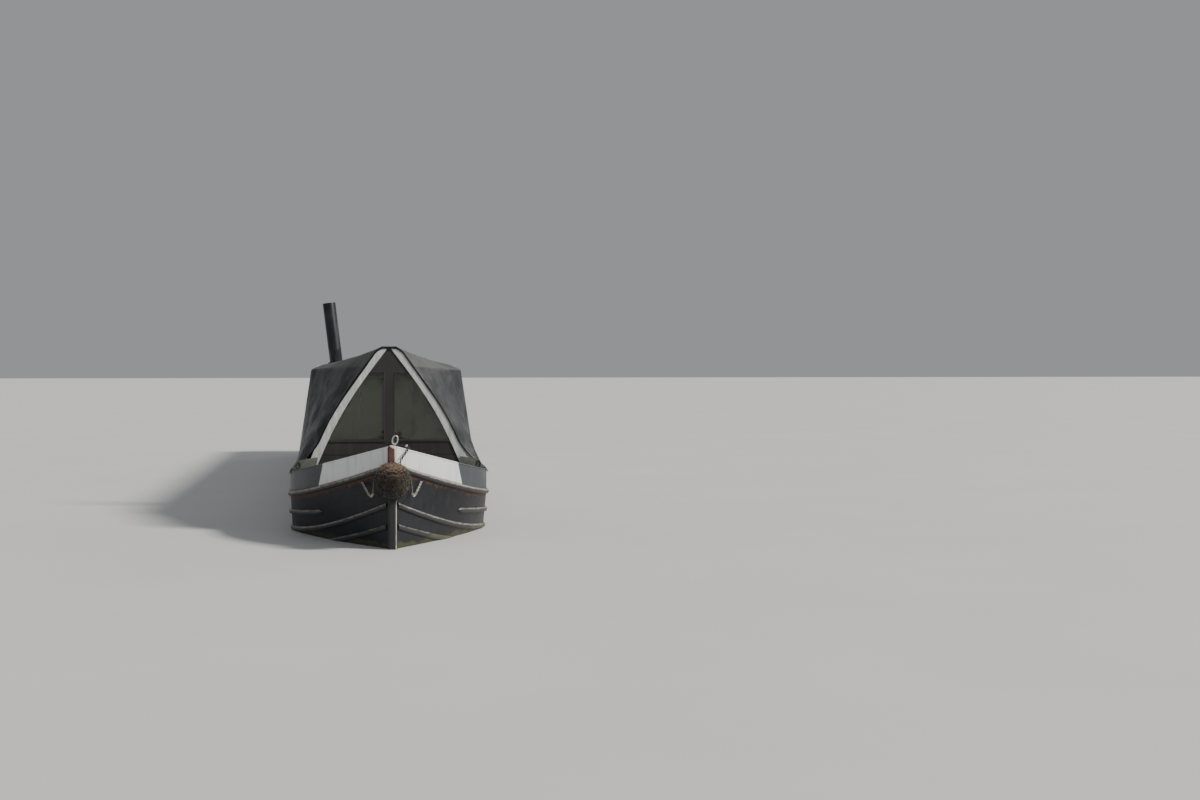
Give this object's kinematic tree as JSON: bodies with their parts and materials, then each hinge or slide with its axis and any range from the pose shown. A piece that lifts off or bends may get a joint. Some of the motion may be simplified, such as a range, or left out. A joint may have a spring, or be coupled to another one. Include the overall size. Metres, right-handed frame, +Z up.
{
  "type": "narrowboat",
  "caption": "Steel canal narrowboat with long cabin, canvas cratch cover over the bow well, chimney, rudder with tiller, propeller, doors, sliding hatch and rope fenders.",
  "frame": {"origin": "underside of the baseplate, at the middle of the boat's length over its fenders and on its centreline; the waterline is 0.57 m above it", "axes": "+X towards the bow, +Y to port, +Z up"},
  "size_m": [17.854, 2.135, 3.109],
  "materials": {
    "hull_paint": "weathered black bitumen paint, rust at the rubbing strakes",
    "stem_paint": "dull red oxide paint",
    "deck_paint": "light grey deck paint, satin",
    "cabin_paint": "pale cream paint, satin",
    "roof_paint": "matt grey-green paint",
    "bare_steel": "worn steel",
    "engine_iron": "black cast iron",
    "frame_wood": "weathered pale grey paint on wood",
    "board_wood": "varnished plank",
    "door_wood": "dark green painted wood",
    "canvas": "black coated canvas, creased",
    "window_glass": "window unit, aluminium frame with clear glass",
    "brass": "polished brass",
    "rope": "coir rope"
  },
  "bodies": {
    "boat": {"baseplate": "hull_paint", "bow_fender": "rope", "cabin_side_port": "cabin_paint", "cabin_side_starboard": "cabin_paint", "chimney": "engine_iron", "chimney_collar": "engine_iron", "counter": "hull_paint", "cratch_board": "frame_wood", "cratch_cover": "canvas", "cratch_pane_port": "window_glass", "cratch_pane_starboard": "window_glass", "engine_block": "engine_iron", "engine_bulkhead": "bare_steel", "fender_chain_port": "bare_steel", "fender_chain_starboard": "bare_steel", "fender_stay_port": "bare_steel", "floor_and_ballast": "board_wood", "foredeck": "deck_paint", "front_bulkhead": "cabin_paint", "hull_side_port": "hull_paint", "hull_side_starboard": "hull_paint", "locker_bulkhead": "deck_paint", "porthole_1_port": "brass", "porthole_1_starboard": "brass", "porthole_2_port": "brass", "porthole_2_starboard": "brass", "rear_bulkhead": "cabin_paint", "roof": "roof_paint", "roof_vent_1": "brass", "roof_vent_2": "brass", "roof_vent_3": "brass", "roof_vent_4": "brass", "skeg": "hull_paint", "stem_post": "stem_paint", "stern_fender": "rope", "stern_post": "hull_paint", "top_plank": "board_wood", "uxter_plate": "hull_paint", "well_deck": "deck_paint", "window_1_port": "window_glass", "window_1_starboard": "window_glass", "window_2_port": "window_glass", "window_2_starboard": "window_glass", "window_3_port": "window_glass", "window_3_starboard": "window_glass", "window_4_port": "window_glass", "window_4_starboard": "window_glass"},
    "propeller": {"propeller": "brass"},
    "steering": {"rudder": "hull_paint", "swan_neck": "bare_steel", "tiller_arm": "brass"},
    "sliding_hatch": {"sliding_hatch": "cabin_paint"},
    "rear_door_port": {"rear_door_port": "door_wood"},
    "rear_door_starboard": {"rear_door_starboard": "door_wood"},
    "front_door_port": {"front_door_port": "door_wood"},
    "front_door_starboard": {"front_door_starboard": "door_wood"},
    "gas_locker_lid": {"gas_locker_lid": "deck_paint"}
  },
  "joints": [
    {"name": "propeller_spin", "type": "hinge", "parent": "boat", "child": "propeller", "pos_m": [-7.83, 0, 0.3], "axis": [1, 0, 0], "continuous": true},
    {"name": "rudder_turn", "type": "hinge", "parent": "boat", "child": "steering", "pos_m": [-8.387, 0, 0.5], "axis": [0, 0, 1], "range_deg": [-40, 40]},
    {"name": "hatch_slide", "type": "slide", "parent": "boat", "child": "sliding_hatch", "axis": [1, 0, 0], "range_m": [0, 0.62]},
    {"name": "rear_door_port_swing", "type": "hinge", "parent": "boat", "child": "rear_door_port", "pos_m": [-7.85, 0.297, 1.75], "axis": [0, 0, -1], "range_deg": [0, 100]},
    {"name": "rear_door_starboard_swing", "type": "hinge", "parent": "boat", "child": "rear_door_starboard", "pos_m": [-7.85, -0.297, 1.75], "axis": [0, 0, 1], "range_deg": [0, 100]},
    {"name": "front_door_port_swing", "type": "hinge", "parent": "boat", "child": "front_door_port", "pos_m": [5.25, 0.307, 1.48], "axis": [0, 0, 1], "range_deg": [0, 90]},
    {"name": "front_door_starboard_swing", "type": "hinge", "parent": "boat", "child": "front_door_starboard", "pos_m": [5.25, -0.307, 1.48], "axis": [0, 0, -1], "range_deg": [0, 90]},
    {"name": "gas_locker_lid_lift", "type": "hinge", "parent": "boat", "child": "gas_locker_lid", "pos_m": [7.31, 0, 1.28789], "axis": [0, -1, 0], "range_deg": [0, 95]}
  ]
}
